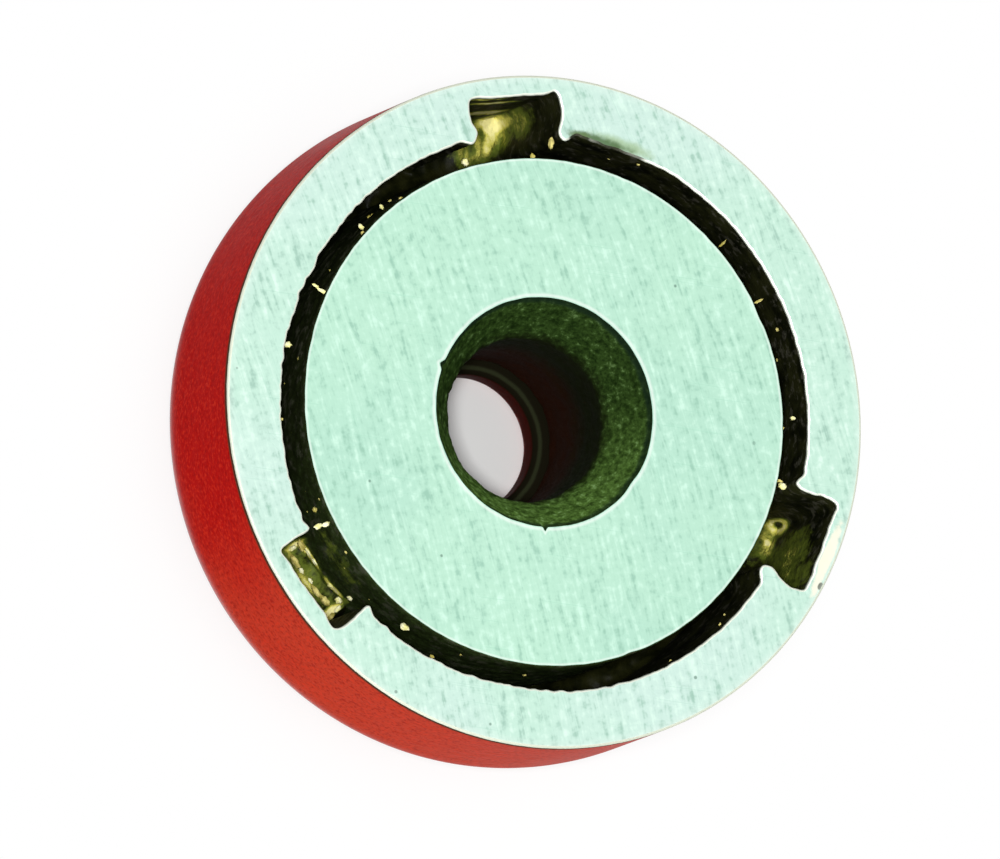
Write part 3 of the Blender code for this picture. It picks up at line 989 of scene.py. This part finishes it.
# Flecks caught in the gap and the notches: angle in degrees, radius, height, size along the
# radius, round the gap and up, and the finish
FLECKS = (
    (100.9, 7.38, 6.68, (0.11, 0.08, 0.10), PALE),
    (122.6, 7.34, 6.40, (0.07, 0.05, 0.05), PALE),
    (130.1, 7.36, 6.65, (0.09, 0.06, 0.07), PALE),
    (161.4, 7.74, 6.62, (0.10, 0.08, 0.08), PALE),
    (148.1, 7.30, 6.90, (0.20, 0.05, 0.04), PALE),
    (147.6, 7.56, 6.82, (0.10, 0.04, 0.03), PALE),
    (176.9, 7.76, 6.40, (0.08, 0.05, 0.05), GOLDEN),
    (200.8, 7.66, 6.80, (0.12, 0.07, 0.07), PALE),
    (201.2, 7.38, 6.72, (0.14, 0.06, 0.07), PALE),
    (197.4, 7.42, 6.50, (0.06, 0.08, 0.05), GOLDEN),
    (229.9, 7.46, 6.50, (0.09, 0.13, 0.07), PALE),
    (238.1, 7.78, 6.55, (0.05, 0.06, 0.04), GOLDEN),
    (339.9, 7.50, 6.60, (0.12, 0.09, 0.07), PALE),
    (340.6, 7.32, 6.75, (0.10, 0.04, 0.04), GOLDEN),
    (353.1, 7.42, 6.30, (0.07, 0.04, 0.04), GOLDEN),
    (355.1, 7.70, 6.45, (0.08, 0.05, 0.04), PALE),
    (35.6, 7.62, 6.40, (0.14, 0.035, 0.03), GOLDEN),
    (21.1, 7.58, 6.40, (0.14, 0.035, 0.03), GOLDEN),
    (80.2, 7.72, 6.55, (0.17, 0.07, 0.10), GOLDEN),
    (85.6, 7.26, 6.92, (0.08, 0.07, 0.05), GOLDEN),
    (218.2, 7.39, 4.30, (0.08, 0.10, 0.09), PALE),
    (219.4, 7.55, 4.22, (0.13, 0.06, 0.07), PALE),
    (219.5, 7.86, 4.20, (0.13, 0.06, 0.10), GOLDEN),
    (214.6, 7.26, 4.25, (0.06, 0.09, 0.10), PALE),
    (219.1, 7.26, 4.73, (0.06, 0.08, 0.10), PALE),
    (203.7, 7.34, 4.28, (0.08, 0.16, 0.12), GOLDEN),
    (205.6, 7.26, 4.28, (0.04, 0.18, 0.09), PALE),
    (208.2, 7.26, 4.30, (0.04, 0.12, 0.08), PALE),
    (211.1, 7.62, 4.16, (0.05, 0.09, 0.05), PALE),
    (208.2, 7.68, 4.16, (0.06, 0.09, 0.05), PALE),
    (203.2, 7.58, 4.20, (0.11, 0.06, 0.06), PALE),
    (216.3, 7.68, 4.22, (0.09, 0.16, 0.10), GOLDEN),
    (213.6, 7.70, 4.22, (0.08, 0.22, 0.08), GOLDEN),
    (205.9, 7.72, 4.22, (0.08, 0.22, 0.08), GOLDEN),
)

# Small dim flecks strewn through the gap, how near to a notch's middle none clings to the cup,
# in degrees, and the seed of their places
SMALL_FLECKS = 46
CLEAR_OF_NOTCH = 13
SEED = 7


def make_lumps(name, flecks, finishes):
    """Small irregular lumps that cling to the walls of the gap."""
    work = bmesh.new()
    for number, (degrees, radius, height, size, kind) in enumerate(flecks):
        known = set(work.faces)
        ball = bmesh.ops.create_icosphere(work, subdivisions=3, radius=1.0)["verts"]
        for face in set(work.faces) - known:
            face.material_index = kind
        centre = Vector((radius, 0.0, height))
        for vertex in ball:
            here = vertex.co
            lump = 1 + 0.5 * noise.noise(here * 1.7 + Vector((number * 3.7, 0, 0)))
            shaped = Vector((here.x * size[0], here.y * size[1], here.z * size[2])) * lump
            vertex.co = turned(degrees) @ (centre + shaped) * MM
    mesh = bpy.data.meshes.new(name)
    work.to_mesh(mesh)
    work.free()
    mesh.shade_smooth()
    for finish in finishes:
        mesh.materials.append(finish)
    return placed(name, mesh)


def make_flecks(finishes):
    """The flecks that show, and small ones strewn through the gap."""
    strewn = random.Random(SEED)
    flecks = list(FLECKS)
    for _ in range(SMALL_FLECKS):
        degrees = strewn.uniform(0.0, 360.0)
        on_magnet = strewn.random() < 0.5
        radius = CORE_RADIUS + 0.02 if on_magnet else CAVITY_RADIUS - 0.03
        size = strewn.uniform(0.018, 0.045)
        height = strewn.uniform(5.2, 6.75)
        nearest = min(abs(apart(degrees, turn + 90)) for turn in NOTCH_TURNS)
        if on_magnet or nearest > CLEAR_OF_NOTCH:
            flecks.append((degrees, radius, height, (size, size * 1.4, size * 1.3), GOLDEN))
    return make_lumps("gap_flecks", flecks, finishes)


def make_floor():
    """Pale floor, white from a little way off, and clear from below to show the part's back."""
    finish = Finish("pale_floor")
    camera, glossy, through = (
        finish.node("ShaderNodeLightPath", output=ray)
        for ray in ("Is Camera Ray", "Is Glossy Ray", "Is Transmission Ray")
    )
    away = finish.step(radius_of(finish, finish.place()), *FLOOR_FADE)
    matt = finish.node("ShaderNodeBsdfDiffuse", None, {"Color": FLOOR_TINT})
    white = finish.node("ShaderNodeEmission", None, {"Color": (*WHITE, 1.0), "Strength": 1.0})
    front = finish.over((camera + glossy + through) * away, matt, white)
    clear = finish.node("ShaderNodeBsdfTransparent")
    behind = finish.node("ShaderNodeNewGeometry", output="Backfacing")
    mesh = bpy.data.meshes.new("floor")
    half = FLOOR_HALF
    corners = [(-half, -half, 0.0), (half, -half, 0.0), (half, half, 0.0), (-half, half, 0.0)]
    mesh.from_pydata(corners, [], [(0, 1, 2, 3)])
    mesh.materials.append(finish.done(finish.over(behind, front, clear)))
    return placed("floor", mesh)


def make_world():
    """Soft pale surroundings, brightest overhead, which the camera sees as white."""
    world = bpy.data.worlds.new("studio")
    bpy.context.scene.world = world
    finish = Finish("studio", world)
    values = {0: finish.node("ShaderNodeTexCoord", output="Generated"), 1: BRIGHTEST}
    settings = {"operation": "DOT_PRODUCT"}
    height = finish.node("ShaderNodeVectorMath", settings, values, "Value")
    colour = finish.blend(finish.step(height, 0.30, 0.84), *STUDIO_TINTS)
    seen = finish.node("ShaderNodeLightPath", output="Is Camera Ray")
    colour = finish.blend(seen, colour, WHITE)
    light = finish.node("ShaderNodeBackground", None, {"Color": colour, "Strength": 1.0})
    finish.done(light, "ShaderNodeOutputWorld")


def make_lamp(name, where, size, watts):
    """A soft square lamp, aimed at the part."""
    data = bpy.data.lights.new(name, "AREA")
    data.energy = watts
    data.size = size
    lamp = placed(name, data)
    lamp.location = where
    lamp.rotation_euler = (Vector(LAMP_AIM) - Vector(where)).to_track_quat("-Z", "Y").to_euler()


def make_camera():
    """Long lens, looking down at the face from the photo's side."""
    right, up, back = (
        turned(CAMERA_TURN) @ Vector(way) for way in (CAMERA_RIGHT, CAMERA_UP, CAMERA_BACK)
    )
    data = bpy.data.cameras.new("camera")
    data.lens = CAMERA_LENS
    data.sensor_width = 36.0
    data.clip_start = 0.1
    data.clip_end = 10.0
    camera = placed("camera", data)
    place = Matrix.Translation(Vector(CAMERA_AIM) + back * CAMERA_DISTANCE)
    camera.matrix_world = place @ Matrix((right, up, back)).transposed().to_4x4()
    bpy.context.scene.camera = camera


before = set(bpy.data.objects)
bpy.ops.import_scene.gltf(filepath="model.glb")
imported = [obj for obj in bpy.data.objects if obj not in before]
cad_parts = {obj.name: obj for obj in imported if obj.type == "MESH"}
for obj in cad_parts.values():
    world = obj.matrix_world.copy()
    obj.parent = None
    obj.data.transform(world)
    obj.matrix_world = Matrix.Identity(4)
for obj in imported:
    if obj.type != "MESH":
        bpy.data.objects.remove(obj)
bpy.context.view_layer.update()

bpy.context.scene.view_settings.view_transform = "Standard"

steel = ground_finish("ground_steel", STEEL_TINTS, RIM_STAINS_AND_HIGHLIGHT)
pole = ground_finish("ground_pole", POLE_TINTS)
outline = cavity_outline()
cup = make_cup(outline, [enamel_finish(), steel, raw_finish()])
core = make_core([pole, cast_finish()])
resin = make_resin(outline, [resin_finish()])
flecks = make_flecks([
    fleck_finish("pale_flecks", PALE_TINTS),
    fleck_finish("golden_flecks", GOLDEN_TINTS),
])

for piece, slot in ((cup, "painted_cup"), (core, "alnico"), (resin, "resin"), (flecks, "resin")):
    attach(piece, "root")
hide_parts("pot_shell")
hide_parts("magnet_core")
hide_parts("resin_bed")

make_floor()
make_world()
for name, where, size, watts in LAMPS:
    make_lamp(name, where, size, watts)
make_camera()
